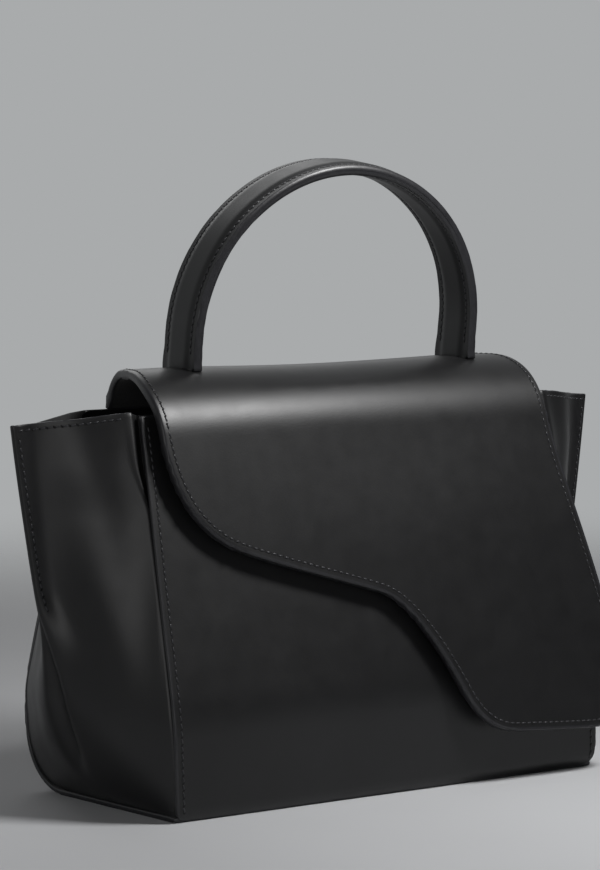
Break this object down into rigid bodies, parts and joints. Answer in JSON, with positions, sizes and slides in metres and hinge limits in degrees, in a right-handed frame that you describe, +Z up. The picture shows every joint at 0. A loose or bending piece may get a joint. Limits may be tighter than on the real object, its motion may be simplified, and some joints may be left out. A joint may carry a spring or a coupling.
{
  "type": "top handle bag",
  "caption": "Structured leather handbag with folded side wings, a wave-cut front flap hinged at the back edge and an arched top handle.",
  "frame": {"origin": "on the floor, at the middle of the base: half way between the ends of the base and half way between the front foot and the straight back face of the base", "axes": "+X to the bag's right as seen from the front, along its width, -Y out of the front, +Z up"},
  "size_m": [0.362, 0.1433, 0.311],
  "materials": {
    "panel_leather": "smooth black leather, satin, painted edges",
    "gusset_leather": "smooth black leather, satin, a little softer",
    "flap_leather": "smooth black leather, satin, painted edges",
    "flap_lining_leather": "matt black lining leather",
    "handle_leather": "smooth black leather, satin, stitched edges",
    "lining_cloth": "woven cotton lining",
    "stiffener": "bonded fibre board",
    "magnet_steel": "nickel plated"
  },
  "bodies": {
    "body": {"front_panel": "panel_leather", "back_and_base_panel": "panel_leather", "left_gusset": "gusset_leather", "right_gusset": "gusset_leather", "front_board": "stiffener", "back_board": "stiffener", "base_board": "stiffener", "front_lining": "lining_cloth", "back_and_base_lining": "lining_cloth", "left_gusset_lining": "lining_cloth", "right_gusset_lining": "lining_cloth", "front_facing": "panel_leather", "back_facing": "panel_leather", "slip_pocket": "panel_leather", "front_magnet": "magnet_steel"},
    "flap": {"flap_outer": "flap_leather", "flap_lining": "flap_lining_leather", "crown_board": "stiffener", "flap_magnet": "magnet_steel", "handle_outer_strap": "handle_leather", "handle_inner_strap": "handle_leather", "handle_core": "stiffener", "left_handle_anchor": "magnet_steel", "right_handle_anchor": "magnet_steel", "left_handle_patch": "flap_lining_leather", "right_handle_patch": "flap_lining_leather", "handle_rivets": "magnet_steel"}
  },
  "joints": [
    {"name": "flap_hinge", "type": "hinge", "parent": "body", "child": "flap", "pos_m": [0, 0.027, 0.19015], "axis": [-1, 0, 0], "range_deg": [0, 150]}
  ]
}
